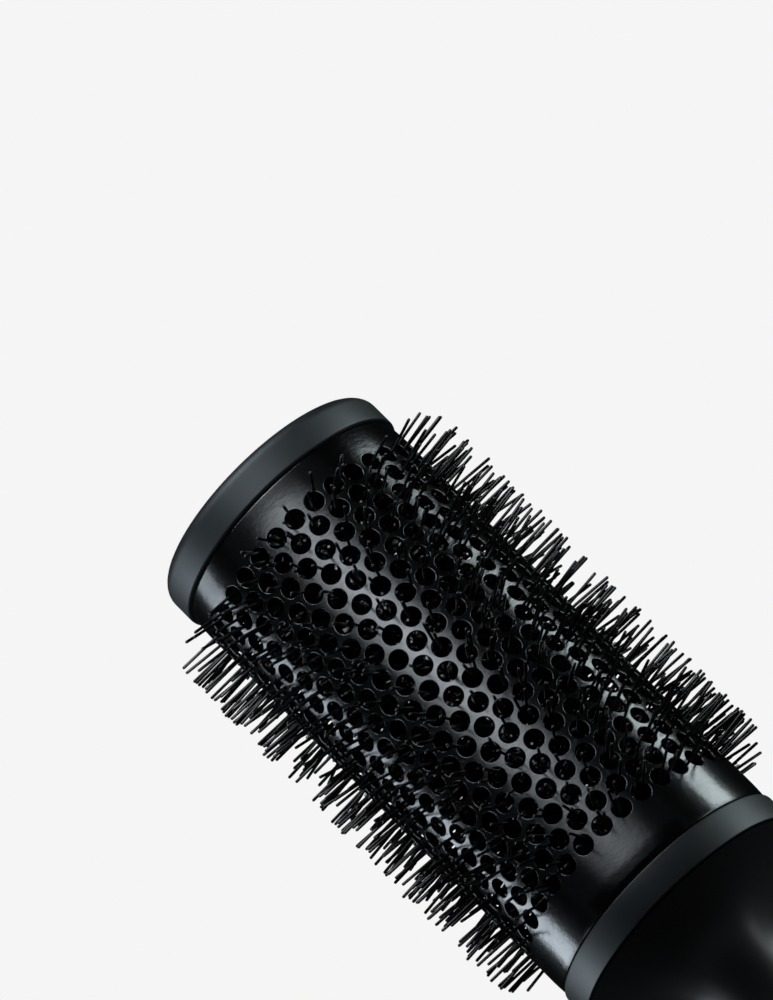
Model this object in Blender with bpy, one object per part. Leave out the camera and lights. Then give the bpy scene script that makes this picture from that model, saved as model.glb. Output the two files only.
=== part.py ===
"""Round barrel brush: a vented metal barrel with nylon bristles on a twisted wire stem, and a turned handle.

The brush stands on its end cap. +Z runs along it, from the end cap's flat foot at the origin to the tail of the
handle. Every turned piece is described by its profile as (radius, height) points.
"""

import math

import bmesh
import bpy
from mathutils import Matrix, Vector
from mathutils.geometry import interpolate_bezier

MM = 0.001

# Driving dimensions
BARREL_RADIUS = 27.5 * MM
BARREL_WALL = 0.8 * MM
TRIM_RADIUS = 27.9 * MM
CAP_HEIGHT = 7.85 * MM
COLLAR_FRONT = 117.2 * MM
COLLAR_HEIGHT = 6.7 * MM
BRUSH_LENGTH = 260.0 * MM
FIT_GAP = 0.3 * MM

# Vents: the real barrel has 33 in each row, and this one keeps every third, with the same size and rows.
VENT_ROWS = 21
VENTS_PER_ROW = 11
VENT_RADIUS = 2.0 * MM
VENT_SIDES = 8
ROW_PITCH = 4.42 * MM
FIRST_ROW_HEIGHT = 16.7 * MM

# Bristles and the twisted wire that pinches them. The wire makes half a turn for each row of vents.
BRISTLE_OUTER_RADIUS = 36.5 * MM
BRISTLE_WIDTH = 0.6 * MM
BRISTLE_ROOT_RADIUS = 2.3 * MM
WIRE_RADIUS = 0.8 * MM
WIRE_OFFSET = 1.7 * MM
WIRE_STEPS_PER_TURN = 6
WIRE_BOTTOM = 8.6 * MM
WIRE_TOP = 133.0 * MM

# Handle
FLARE_RADIUS = 27.4 * MM
NECK_RADIUS = 8.2 * MM
NECK_HEIGHT = 152.0 * MM
SWELL_RADIUS = 12.4 * MM
SWELL_HEIGHT = 212.0 * MM
TAIL_RADIUS = 10.6 * MM
TAIL_CAP_HEIGHT = 9.0 * MM
GRIP_START = 168.0 * MM
GRIP_THICKNESS = 1.6 * MM
SHELL_WALL = 2.4 * MM

# Base plug and its screws
PLUG_DEPTH = 7.4 * MM
PLUG_NECK_RADIUS = 20.2 * MM
PLUG_NECK_TOP = 126.5 * MM
PLUG_WEB_BOTTOM = 113.5 * MM
STEM_BORE_RADIUS = 3.0 * MM
SCREW_COUNT = 3
SCREW_CIRCLE = 12.0 * MM
SCREW_RADIUS = 1.4 * MM
SCREW_TOP = 132.0 * MM

TRIM_SEGMENTS = 36
BARREL_SEGMENTS = 3 * VENTS_PER_ROW
HANDLE_SEGMENTS = 28

# Heights and radii that follow from the driving dimensions
BARREL_INNER_RADIUS = BARREL_RADIUS - BARREL_WALL
SPIGOT_RADIUS = BARREL_INNER_RADIUS - 0.4 * MM
COLLAR_REAR = COLLAR_FRONT + COLLAR_HEIGHT
BARREL_FRONT = CAP_HEIGHT + FIT_GAP
BARREL_REAR = COLLAR_FRONT - FIT_GAP
HANDLE_FRONT = COLLAR_REAR + FIT_GAP
TAIL_CAP_FRONT = BRUSH_LENGTH - TAIL_CAP_HEIGHT
GRIP_END = TAIL_CAP_FRONT - 3.0 * MM
TWIST_PER_METRE = math.pi / ROW_PITCH


def clear_scene():
    """Removes whatever the startup scene holds."""
    for old in list(bpy.data.objects):
        bpy.data.objects.remove(old)


def material(name, colour, roughness, metallic=0.0):
    """A plain Principled material."""
    made = bpy.data.materials.new(name)
    made.use_nodes = True
    shader = made.node_tree.nodes["Principled BSDF"]
    shader.inputs["Base Color"].default_value = (*colour, 1.0)
    shader.inputs["Roughness"].default_value = roughness
    shader.inputs["Metallic"].default_value = metallic
    return made


def add_object(name, data, finish, parent):
    """Links a mesh or curve into the scene as a named piece on the brush's axis."""
    piece = bpy.data.objects.new(name, data)
    if finish is not None and not data.materials:
        data.materials.append(finish)
    bpy.context.scene.collection.objects.link(piece)
    piece.parent = parent
    return piece


def mesh_from(bm, name):
    """Turns a bmesh into a mesh with outward normals, smooth but for its sharp edges."""
    bmesh.ops.recalc_face_normals(bm, faces=bm.faces)
    mesh = bpy.data.meshes.new(name)
    bm.to_mesh(mesh)
    bm.free()
    mesh.shade_smooth()
    mesh.set_sharp_from_angle(angle=math.radians(35))
    return mesh


def turned(name, profile, segments, finish, parent):
    """A piece turned on the Z axis. A profile that starts and ends on the axis is solid; any other is a ring."""
    bm = bmesh.new()
    points = [bm.verts.new((radius, 0.0, height)) for radius, height in profile]
    edges = [bm.edges.new(pair) for pair in zip(points, points[1:])]
    if profile[0][0] > 0.0:
        edges.append(bm.edges.new((points[-1], points[0])))
    bmesh.ops.spin(
        bm,
        geom=points + edges,
        cent=(0, 0, 0),
        axis=(0, 0, 1),
        angle=2 * math.pi,
        steps=segments,
        use_duplicate=False,
    )
    bmesh.ops.remove_doubles(bm, verts=bm.verts, dist=0.001 * MM)
    return add_object(name, mesh_from(bm, name), finish, parent)


def arc(centre, radius, start, end, steps):
    """Profile points on an arc, with angles in degrees from the radial direction towards +Z."""
    angles = [math.radians(start + (end - start) * i / steps) for i in range(steps + 1)]
    return [(centre[0] + radius * math.cos(a), centre[1] + radius * math.sin(a)) for a in angles]


def bezier(start, start_handle, end_handle, end, steps):
    """Profile points on a Bezier curve, both ends included."""
    knots = [Vector((*point, 0.0)) for point in (start, start_handle, end_handle, end)]
    return [(p.x, p.y) for p in interpolate_bezier(*knots, steps + 1)]


def cut(piece, cutter):
    """Subtracts the cutter, which is hidden, from the piece."""
    cutter.hide_render = True
    cutter.display_type = "WIRE"
    boolean = piece.modifiers.new(f"cut_{cutter.name}", "BOOLEAN")
    boolean.operation = "DIFFERENCE"
    boolean.solver = "EXACT"
    boolean.object = cutter


def row_height(row):
    """Height of the middle of a row of vents, counted from 0 at the end cap."""
    return FIRST_ROW_HEIGHT + row * ROW_PITCH


def end_cap(finish, parent):
    """Moulded cap: a dished foot, a rounded edge, a spigot that fits in the barrel, and a socket for the stem."""
    edge = 3.0 * MM
    front_edge = 0.9 * MM
    foot_inner = 19.0 * MM
    dish = 0.8 * MM
    floor = 3.0 * MM
    spigot_top = 13.4 * MM
    spigot_wall = 1.6 * MM
    socket_wall = 2.4 * MM
    socket_floor = 4.2 * MM
    socket_top = 12.0 * MM
    chamfer = 0.4 * MM
    profile = [(0.0, dish), (foot_inner, dish), (foot_inner + dish, 0.0)]
    profile += arc((TRIM_RADIUS - edge, edge), edge, -90, 0, 3)
    profile += [
        (TRIM_RADIUS, CAP_HEIGHT - front_edge),
        (TRIM_RADIUS - front_edge / 3, CAP_HEIGHT - front_edge / 3),
        (TRIM_RADIUS - front_edge, CAP_HEIGHT),
        (SPIGOT_RADIUS, CAP_HEIGHT),
        (SPIGOT_RADIUS, spigot_top - chamfer),
        (SPIGOT_RADIUS - chamfer, spigot_top),
        (SPIGOT_RADIUS - spigot_wall, spigot_top),
        (SPIGOT_RADIUS - spigot_wall, floor),
        (STEM_BORE_RADIUS + socket_wall, floor),
        (STEM_BORE_RADIUS + socket_wall, socket_top),
        (STEM_BORE_RADIUS, socket_top),
        (STEM_BORE_RADIUS, socket_floor),
        (0.0, socket_floor),
    ]
    return turned("end_cap", profile, TRIM_SEGMENTS, finish, parent)


def vent_cutter(parent):
    """One prism for each vent. Each row is turned half a turn from the last, which staggers the vents."""
    depth = 4.0 * MM
    bm = bmesh.new()
    for row in range(VENT_ROWS):
        for vent in range(VENTS_PER_ROW):
            angle = math.pi * row + 2 * math.pi * (vent + 0.5) / VENTS_PER_ROW
            place = (
                Matrix.Rotation(angle, 4, "Z")
                @ Matrix.Translation((BARREL_RADIUS, 0.0, row_height(row)))
                @ Matrix.Rotation(math.pi / 2, 4, "Y")
                @ Matrix.Rotation(math.pi / 2, 4, "Z")
            )
            bmesh.ops.create_cone(
                bm,
                cap_ends=True,
                segments=VENT_SIDES,
                radius1=VENT_RADIUS,
                radius2=VENT_RADIUS,
                depth=depth,
                matrix=place,
            )
    return add_object("vent_cutter", mesh_from(bm, "vent_cutter"), None, parent)


def barrel(finish, parent):
    """Thin tube with rolled ends, perforated by the vents."""
    roll = 0.6 * MM
    roll_length = 1.2 * MM
    profile = [
        (BARREL_INNER_RADIUS, BARREL_REAR),
        (BARREL_INNER_RADIUS, BARREL_FRONT),
        (BARREL_RADIUS - roll, BARREL_FRONT),
        (BARREL_RADIUS, BARREL_FRONT + roll_length),
        (BARREL_RADIUS, BARREL_REAR - roll_length),
        (BARREL_RADIUS - roll, BARREL_REAR),
    ]
    tube = turned("barrel", profile, BARREL_SEGMENTS, finish, parent)
    cut(tube, vent_cutter(parent))
    return tube


def bristle_row_mesh():
    """The filaments of one row of vents, joined where the wire pinches them.

    The roots are packed side by side into a ribbon that twists half a turn. Each cell of the ribbon carries one
    filament, on alternate edges, because the wire pinches every filament at its middle.
    """
    cells = VENTS_PER_ROW
    ribbon_share = (ROW_PITCH - FIT_GAP) / ROW_PITCH
    cell_angle = math.pi / cells
    middle = (cells - 1) / 2
    half_width = BRISTLE_WIDTH / 2
    tip_half_height = 0.2 * MM
    bm = bmesh.new()
    rings = []
    for step in range(cells + 1):
        turn = (step - 0.5 - middle) * ribbon_share
        angle = (middle + turn) * cell_angle
        height = turn * ROW_PITCH / cells
        along = Vector((math.cos(angle), math.sin(angle), 0.0)) * BRISTLE_ROOT_RADIUS
        across = Vector((-math.sin(angle), math.cos(angle), 0.0)) * half_width
        lift = Vector((0.0, 0.0, height))
        corners = (along + across, -along + across, -along - across, along - across)
        rings.append([bm.verts.new(corner + lift) for corner in corners])
    bm.faces.new(rings[0])
    bm.faces.new(rings[-1])
    for cell, (low, high) in enumerate(zip(rings, rings[1:])):
        for side in range(4):
            other = (side + 1) % 4
            root = (low[side], low[other], high[other], high[side])
            # Side 3 is the ribbon's +along edge, and side 1 its -along edge.
            carries = 3 if cell % 2 else 1
            if side != carries:
                bm.faces.new(root)
                continue
            angle = cell * cell_angle + (0.0 if side == 3 else math.pi)
            outward = Vector((math.cos(angle), math.sin(angle), 0.0))
            across = Vector((-math.sin(angle), math.cos(angle), 0.0)) * half_width
            root_height = sum(corner.co.z for corner in root) / 4
            reach = (BRISTLE_OUTER_RADIUS - BRISTLE_ROOT_RADIUS) / (BARREL_RADIUS - BRISTLE_ROOT_RADIUS)
            centre = outward * BRISTLE_OUTER_RADIUS + Vector((0.0, 0.0, root_height * (1 - reach)))
            up = Vector((0.0, 0.0, tip_half_height))
            corners = (-across - up, across - up, across + up, -across + up)
            tip = [bm.verts.new(centre + corner) for corner in corners]
            bm.faces.new(tip)
            for i in range(4):
                j = (i + 1) % 4
                bm.faces.new((root[i], root[j], tip[j], tip[i]))
    return mesh_from(bm, "bristle_row")


def bristle_rows(finish, parent):
    """One node for each row of vents. The rows share a mesh, and each is turned half a turn from the last."""
    shared = bristle_row_mesh()
    for row in range(VENT_ROWS):
        piece = add_object(f"bristle_row_{row + 1:02d}", shared, finish, parent)
        piece.location.z = row_height(row)
        piece.rotation_euler.z = math.pi * row


def wire_stem(finish, parent):
    """One wire, bent in a U in the end cap's socket, with its two halves twisted together either side of the roots."""
    bend_steps = 4
    straight = 1.2 * MM
    steps = round((WIRE_TOP - WIRE_BOTTOM) * TWIST_PER_METRE / (2 * math.pi) * WIRE_STEPS_PER_TURN)
    middle_angle = math.pi * (VENTS_PER_ROW - 1) / (2 * VENTS_PER_ROW)

    def on_strand(height, side):
        turn = (height - FIRST_ROW_HEIGHT) * TWIST_PER_METRE
        angle = middle_angle + math.pi / 2 + turn + side
        return Vector((math.cos(angle) * WIRE_OFFSET, math.sin(angle) * WIRE_OFFSET, height))

    heights = [WIRE_TOP + (WIRE_BOTTOM - WIRE_TOP) * i / steps for i in range(steps + 1)]
    down = [on_strand(height, 0.0) for height in heights]
    up = [on_strand(height, math.pi) for height in reversed(heights)]
    out = down[-1].copy()
    out.z = 0.0
    bend = []
    for i in range(bend_steps + 1):
        angle = math.pi * i / bend_steps
        drop = straight + WIRE_OFFSET * math.sin(angle)
        bend.append(out * math.cos(angle) + Vector((0.0, 0.0, WIRE_BOTTOM - drop)))
    points = down + bend + up
    curve = bpy.data.curves.new("wire_stem", "CURVE")
    curve.dimensions = "3D"
    curve.bevel_depth = WIRE_RADIUS
    curve.bevel_resolution = 1
    curve.use_fill_caps = True
    spline = curve.splines.new("POLY")
    spline.points.add(len(points) - 1)
    for knot, point in zip(spline.points, points):
        knot.co = (*point, 1.0)
    return add_object("wire_stem", curve, finish, parent)


def screw_places():
    """Angles of the plug's screws round the axis."""
    return [2 * math.pi * i / SCREW_COUNT for i in range(SCREW_COUNT)]


def screw_hole_cutter(name, bottom, top, parent):
    """Clearance holes for the plug's screws, as one cutter."""
    bm = bmesh.new()
    for angle in screw_places():
        place = Matrix.Rotation(angle, 4, "Z") @ Matrix.Translation((SCREW_CIRCLE, 0.0, (bottom + top) / 2))
        bmesh.ops.create_cone(
            bm,
            cap_ends=True,
            segments=12,
            radius1=SCREW_RADIUS + FIT_GAP,
            radius2=SCREW_RADIUS + FIT_GAP,
            depth=top - bottom,
            matrix=place,
        )
    return add_object(name, mesh_from(bm, name), None, parent)


def base_plug(finish, parent):
    """Moulded plug: a spigot inside the barrel, a neck that carries the collar, and a bore for the wire stem."""
    hub_radius = 5.6 * MM
    hub_bottom = 108.5 * MM
    spigot_bottom = BARREL_REAR - PLUG_DEPTH
    spigot_wall = 1.8 * MM
    profile = [
        (STEM_BORE_RADIUS, hub_bottom),
        (hub_radius, hub_bottom),
        (hub_radius, PLUG_WEB_BOTTOM),
        (SPIGOT_RADIUS - spigot_wall, PLUG_WEB_BOTTOM),
        (SPIGOT_RADIUS - spigot_wall, spigot_bottom),
        (SPIGOT_RADIUS, spigot_bottom),
        (SPIGOT_RADIUS, BARREL_REAR),
        (PLUG_NECK_RADIUS, BARREL_REAR),
        (PLUG_NECK_RADIUS, PLUG_NECK_TOP),
        (STEM_BORE_RADIUS, PLUG_NECK_TOP),
    ]
    plug = turned("base_plug", profile, TRIM_SEGMENTS, finish, parent)
    cut(plug, screw_hole_cutter("plug_hole_cutter", PLUG_WEB_BOTTOM - 2 * MM, PLUG_NECK_TOP + 2 * MM, parent))
    return plug


def collar(finish, parent):
    """Trim ring that covers the joint between the barrel and the handle."""
    chamfer = 0.4 * MM
    inner = PLUG_NECK_RADIUS + FIT_GAP
    profile = [
        (inner, COLLAR_REAR),
        (inner, COLLAR_FRONT),
        (TRIM_RADIUS - chamfer, COLLAR_FRONT),
        (TRIM_RADIUS, COLLAR_FRONT + chamfer),
        (TRIM_RADIUS, COLLAR_REAR - chamfer),
        (TRIM_RADIUS - chamfer, COLLAR_REAR),
    ]
    return turned("collar", profile, TRIM_SEGMENTS, finish, parent)


def plug_screws(finish, parent):
    """Pan-head screws, put in from the barrel's side, which hold the plug to the handle."""
    head_radius = 2.7 * MM
    head_height = 1.9 * MM
    edge = 0.5 * MM
    head_top = PLUG_WEB_BOTTOM - FIT_GAP
    profile = [
        (0.0, head_top - head_height),
        (head_radius - edge, head_top - head_height),
        (head_radius, head_top - head_height + edge),
        (head_radius, head_top),
        (SCREW_RADIUS, head_top),
        (SCREW_RADIUS, SCREW_TOP - SCREW_RADIUS),
        (0.0, SCREW_TOP),
    ]
    for number, angle in enumerate(screw_places(), start=1):
        piece = turned(f"plug_screw_{number}", profile, 10, finish, parent)
        piece.location = (SCREW_CIRCLE * math.cos(angle), SCREW_CIRCLE * math.sin(angle), 0.0)


def stem_ferrule(finish, parent):
    """Sleeve crimped on the end of the wire stem, behind the plug."""
    bottom = PLUG_NECK_TOP + FIT_GAP
    wall = 1.2 * MM
    length = 6.4 * MM
    profile = [
        (STEM_BORE_RADIUS, bottom + length),
        (STEM_BORE_RADIUS, bottom),
        (STEM_BORE_RADIUS + wall, bottom),
        (STEM_BORE_RADIUS + wall, bottom + length),
    ]
    return turned("stem_ferrule", profile, 16, finish, parent)


def handle_outline(height):
    """Outer radius of the handle's shaft, which is narrow at the neck, swells in the hand and narrows to the tail."""
    if height < SWELL_HEIGHT:
        share = (height - NECK_HEIGHT) / (SWELL_HEIGHT - NECK_HEIGHT)
        low, high = NECK_RADIUS, SWELL_RADIUS
    else:
        share = (height - SWELL_HEIGHT) / (TAIL_CAP_FRONT - SWELL_HEIGHT)
        low, high = SWELL_RADIUS, TAIL_RADIUS
    share = min(1.0, max(0.0, share))
    return low + (high - low) * (1 - math.cos(math.pi * share)) / 2


def shaft_profile(start, end, steps, inset):
    """Profile points along the shaft from one height to another, that far inside its outline."""
    heights = [start + (end - start) * i / steps for i in range(steps + 1)]
    return [(handle_outline(height) - inset, height) for height in heights]


def handle_shell(finish, parent):
    """Hollow handle: a flare behind the collar, a slim neck, and a shaft that is recessed under the grip."""
    lip = 0.6 * MM
    recess_floor = PLUG_NECK_TOP + FIT_GAP
    recess_radius = PLUG_NECK_RADIUS + FIT_GAP
    bore = STEM_BORE_RADIUS + 1.6 * MM
    web_top = 134.0 * MM
    flare = bezier(
        (FLARE_RADIUS, HANDLE_FRONT + lip),
        (FLARE_RADIUS - 8.9 * MM, HANDLE_FRONT + 5.3 * MM),
        (NECK_RADIUS + 1.0 * MM, HANDLE_FRONT + 11.0 * MM),
        (NECK_RADIUS, NECK_HEIGHT),
        10,
    )
    profile = [(recess_radius, HANDLE_FRONT), (FLARE_RADIUS - lip, HANDLE_FRONT)]
    profile += flare
    profile += [(handle_outline(GRIP_START), GRIP_START)]
    profile += shaft_profile(GRIP_START, GRIP_END, 8, GRIP_THICKNESS)
    profile += shaft_profile(GRIP_END, TAIL_CAP_FRONT, 1, 0.0)
    profile += reversed(shaft_profile(NECK_HEIGHT, TAIL_CAP_FRONT, 4, GRIP_THICKNESS + SHELL_WALL))
    profile += [(bore, web_top), (bore, recess_floor), (recess_radius, recess_floor)]
    shell = turned("handle_shell", profile, HANDLE_SEGMENTS, finish, parent)
    cut(shell, screw_hole_cutter("shell_hole_cutter", recess_floor - 2 * MM, SCREW_TOP + FIT_GAP, parent))
    return shell


def grip_sleeve(finish, parent):
    """Soft sleeve in the shaft's recess, flush with the shaft at both ends."""
    start = GRIP_START + FIT_GAP
    end = GRIP_END - FIT_GAP
    profile = shaft_profile(start, end, 8, 0.0)
    profile += reversed(shaft_profile(start, end, 8, GRIP_THICKNESS - FIT_GAP))
    return turned("grip_sleeve", profile, HANDLE_SEGMENTS, finish, parent)


def tail_cap(finish, parent):
    """Domed plug that closes the handle's hollow end."""
    spigot_depth = 8.0 * MM
    spigot_radius = TAIL_RADIUS - GRIP_THICKNESS - SHELL_WALL - FIT_GAP
    face = TAIL_CAP_FRONT + FIT_GAP
    profile = [
        (0.0, face - spigot_depth),
        (spigot_radius, face - spigot_depth),
        (spigot_radius, face),
        (TAIL_RADIUS, face),
    ]
    profile += bezier(
        (TAIL_RADIUS, face + 1.0 * MM),
        (TAIL_RADIUS, BRUSH_LENGTH - 2.4 * MM),
        (TAIL_RADIUS * 0.62, BRUSH_LENGTH),
        (0.0, BRUSH_LENGTH),
        7,
    )
    return turned("tail_cap", profile, HANDLE_SEGMENTS, finish, parent)


def build():
    """Makes every piece on one axis, turned so that the odd rows have a vent that faces -Y."""
    clear_scene()
    axis = bpy.data.objects.new("brush_axis", None)
    bpy.context.scene.collection.objects.link(axis)
    axis.rotation_euler.z = -math.pi / 2

    matte_trim = material("matte_trim", (0.045, 0.049, 0.052), 0.45)
    coated_metal = material("coated_metal", (0.055, 0.058, 0.064), 0.30, 0.85)
    nylon = material("nylon", (0.010, 0.010, 0.011), 0.25)
    steel = material("steel", (0.50, 0.50, 0.52), 0.35, 1.0)
    brass = material("brass", (0.62, 0.47, 0.22), 0.35, 1.0)
    moulding = material("moulding", (0.020, 0.020, 0.022), 0.55)
    gloss_black = material("gloss_black", (0.008, 0.008, 0.009), 0.10)
    soft_touch = material("soft_touch", (0.018, 0.018, 0.019), 0.70)

    end_cap(matte_trim, axis)
    barrel(coated_metal, axis)
    bristle_rows(nylon, axis)
    wire_stem(steel, axis)
    base_plug(moulding, axis)
    stem_ferrule(brass, axis)
    plug_screws(steel, axis)
    collar(matte_trim, axis)
    handle_shell(gloss_black, axis)
    grip_sleeve(soft_touch, axis)
    tail_cap(gloss_black, axis)


build()
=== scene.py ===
"""Round barrel brush: fine surfaces, materials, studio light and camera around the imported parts.

Lengths are in metres. A turned piece is drawn as a closed profile of (radius, height) points.
"""

import math

import bpy
import numpy as np
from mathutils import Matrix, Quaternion, Vector


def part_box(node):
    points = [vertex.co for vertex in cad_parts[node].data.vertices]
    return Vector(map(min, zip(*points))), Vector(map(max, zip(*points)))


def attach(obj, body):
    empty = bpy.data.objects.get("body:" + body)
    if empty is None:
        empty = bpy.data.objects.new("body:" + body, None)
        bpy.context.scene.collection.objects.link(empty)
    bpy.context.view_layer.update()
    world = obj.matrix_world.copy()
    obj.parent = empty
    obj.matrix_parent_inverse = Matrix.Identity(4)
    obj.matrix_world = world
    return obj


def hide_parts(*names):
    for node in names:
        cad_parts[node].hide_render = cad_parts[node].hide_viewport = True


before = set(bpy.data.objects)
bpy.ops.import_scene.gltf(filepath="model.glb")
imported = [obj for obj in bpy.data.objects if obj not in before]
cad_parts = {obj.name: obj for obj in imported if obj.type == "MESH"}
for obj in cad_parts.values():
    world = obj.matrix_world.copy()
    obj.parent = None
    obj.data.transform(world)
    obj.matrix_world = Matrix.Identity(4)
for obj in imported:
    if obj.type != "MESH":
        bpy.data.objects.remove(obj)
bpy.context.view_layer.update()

MM = 0.001
Z_AXIS = (0.0, 0.0, 1.0)

# Barrel. Each end has a slow taper and a roll, given as (length, radius of its curve).
BARREL_RADIUS = 27.5 * MM
BARREL_WALL = 0.8 * MM
FRONT_TAPER, FRONT_ROLL = (5.9 * MM, 49 * MM), (0.6 * MM, 1.3 * MM)
REAR_TAPER, REAR_ROLL = (4.6 * MM, 49 * MM), (1.4 * MM, 4.0 * MM)
EDGE_BULGE = 0.2 * MM
EDGE_STEPS = 8
BAND_RINGS = 25
INNER_BAND_STRIDE = 3

# Vents
VENTS_PER_ROW = 33
VENT_RADIUS = 2.03 * MM
VENT_LIP = 0.21 * MM
VENT_POINTS = 24
CELL_STEPS = VENT_POINTS // 4

# Filaments. A scatter is a standard deviation.
FILAMENT_RADIUS = 0.325 * MM
FILAMENT_REACH = 36.35 * MM
FILAMENT_ROOT = 0.5 * MM
FILAMENT_CURVE = 2.5 * MM
FILAMENTS_IN_VENT = (0, 1, 1, 1, 2, 2, 2, 2, 3, 3)
SPREAD_IN_VENT = 1.5 * MM
ROOT_SCATTER = 0.9 * MM
ROOT_TURN_SCATTER = 0.25
BEND_SCATTER = 0.045
REACH_SCATTER = 0.25 * MM
SHORT_SHARE = 0.06
SHORTER_BY_MM = (0.8, 4.5)
VENT_FILAMENT_SIDES = 8
# Radii along the shaft from its root, and the rounded tip as (distance from its end, radius). All are shares
# of the filament's radius.
SHAFT_RADII = [0.8, 1.0, 1.0, 1.0, 1.0]
TIP_STATIONS = ((1.0, 1.0), (0.5, 0.866), (0.13, 0.5), (0.0, 0.12))

# Filaments that the wall holds back. The clearances keep them off the end cap's spigot and the base plug.
TRAPPED_PER_ROW = 60
TRAPPED_REACH = BARREL_RADIUS - BARREL_WALL - 1.0 * MM
TRAPPED_ROOT_SCATTER = 0.8 * MM
TRAPPED_LEAN_SCATTER = 0.10
TRAPPED_TURN = (0.10, 0.30)
# Where its points lie after the root, as (share of its length, share of its reach), and the radii at all four
TRAPPED_STATIONS = ((0.55, 0.55), (0.85, 0.85), (1.0, 0.985))
TRAPPED_RADII = [0.8, 1.0, 1.0, 0.9]
TRAPPED_SIDES = 6
CAP_CLEARANCE = 5.5 * MM
PLUG_CLEARANCE = 9.0 * MM
SEED = 55

# Twisted wire: half a turn for each row of vents, and this angle at the first row
WIRE_RADIUS = 0.8 * MM
WIRE_OFFSET = 1.25 * MM
WIRE_ANGLE = math.pi * 5 / 11
WIRE_SIDES = 12
WIRE_STEPS_PER_TURN = 24
WIRE_BEND_STEPS = 12

# Cap, collar and handle. The handle's narrowest, widest and last places are given as (radius, height).
TRIM_RADIUS = 27.9 * MM
COLLAR_BORE = 20.6 * MM
FLARE_RADIUS = 27.4 * MM
NECK = (8.2 * MM, 152 * MM)
SWELL = (12.4 * MM, 212 * MM)
TAIL = (10.6 * MM, 251 * MM)
HANDLE_WALL = 4.0 * MM
GRIP_RECESS = 1.6 * MM
LATHE_SEGMENTS = 160
LATHE_SHARP_ANGLE = 40
ON_AXIS = 1e-7

rows = sorted(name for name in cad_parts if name.startswith("bristle_row"))
row_heights = [sum(corner.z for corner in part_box(name)) / 2 for name in rows]
row_pitch = (row_heights[-1] - row_heights[0]) / (len(rows) - 1)
vent_step = 2 * math.pi / VENTS_PER_ROW
barrel_bottom, barrel_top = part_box("barrel")[0].z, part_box("barrel")[1].z
collar_bottom, collar_top = (corner.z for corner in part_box("collar"))
cap_top = barrel_bottom - 0.2 * MM
handle_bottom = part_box("handle_shell")[0].z
tail_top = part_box("tail_cap")[1].z
grip_bottom, grip_top = (corner.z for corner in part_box("grip_sleeve"))

rng = np.random.default_rng(SEED)


def vent_angle(row, vent):
    """Angle of a vent's middle round the axis. Every other row is turned by half a step."""
    return -math.pi / 2 + (vent + (0.5 if row % 2 == 0 else 0.0)) * vent_step


# ---------------------------------------------------------------- materials


class Shader:
    """A Principled material whose pattern nodes are added one by one."""

    # The range in which a noise pattern mostly lies
    PATTERN_LOW = 0.3
    PATTERN_HIGH = 0.7

    def __init__(self, name, colour, roughness, metallic=0.0, specular=0.5):
        self.material = bpy.data.materials.new(name)
        self.material.use_nodes = True
        self.tree = self.material.node_tree
        self.principled = self.tree.nodes["Principled BSDF"]
        self.set("Base Color", (*colour, 1.0))
        self.set("Roughness", roughness)
        self.set("Metallic", metallic)
        self.set("Specular IOR Level", specular)
        self.coordinates = self.tree.nodes.new("ShaderNodeTexCoord").outputs["Object"]
        self.height = None

    def set(self, socket, value):
        self.principled.inputs[socket].default_value = value

    def add(self, kind, **inputs):
        """A new node. An input is a value or another node's output, by the socket's name or number."""
        node = self.tree.nodes.new(kind)
        for socket, value in inputs.items():
            socket = int(socket[1:]) if socket[0] == "_" else socket.replace("_", " ")
            if isinstance(value, bpy.types.NodeSocket):
                self.tree.links.new(value, node.inputs[socket])
            else:
                node.inputs[socket].default_value = value
        return node

    def scaled(self, scale):
        """The object's coordinates, in metres, times scale along each axis."""
        node = self.add("ShaderNodeMapping", Vector=self.coordinates)
        node.inputs["Scale"].default_value = scale
        return node.outputs["Vector"]

    def round_axis(self, around, along):
        """Coordinates round the Z axis and along it, each with its own scale, for turned or brushed grain."""
        split = self.add("ShaderNodeSeparateXYZ", Vector=self.coordinates)
        angle = self.add("ShaderNodeMath", _0=split.outputs["Y"], _1=split.outputs["X"])
        angle.operation = "ARCTAN2"
        wide = self.add("ShaderNodeMath", _0=angle.outputs[0], _1=around)
        wide.operation = "MULTIPLY"
        high = self.add("ShaderNodeMath", _0=split.outputs["Z"], _1=along)
        high.operation = "MULTIPLY"
        grain = self.add("ShaderNodeCombineXYZ", X=wide.outputs[0], Y=high.outputs[0])
        return grain.outputs["Vector"]

    def noise(self, vector, detail=3.0, roughness=0.5):
        node = self.add("ShaderNodeTexNoise", Vector=vector, Scale=1.0, Detail=detail, Roughness=roughness)
        return node.outputs["Fac"]

    def vary(self, socket, pattern, low, high):
        """Drives a number socket by a pattern, from low to high."""
        node = self.add("ShaderNodeMapRange", Value=pattern)
        node.inputs["From Min"].default_value = self.PATTERN_LOW
        node.inputs["From Max"].default_value = self.PATTERN_HIGH
        node.inputs["To Min"].default_value = low
        node.inputs["To Max"].default_value = high
        self.tree.links.new(node.outputs["Result"], self.principled.inputs[socket])

    def tint(self, pattern, dark, light):
        """Drives the base colour by a pattern, from dark to light."""
        node = self.add("ShaderNodeValToRGB", Fac=pattern)
        node.color_ramp.elements[0].position = self.PATTERN_LOW
        node.color_ramp.elements[1].position = self.PATTERN_HIGH
        node.color_ramp.elements[0].color = (*dark, 1.0)
        node.color_ramp.elements[1].color = (*light, 1.0)
        self.tree.links.new(node.outputs["Color"], self.principled.inputs["Base Color"])

    def bump(self, pattern, distance):
        """Adds relief of that depth in metres on top of any relief so far."""
        node = self.add("ShaderNodeBump", Height=pattern, Distance=distance, Strength=1.0)
        if self.height is not None:
            self.tree.links.new(self.height, node.inputs["Normal"])
        self.height = node.outputs["Normal"]
        self.tree.links.new(self.height, self.principled.inputs["Normal"])


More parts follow.
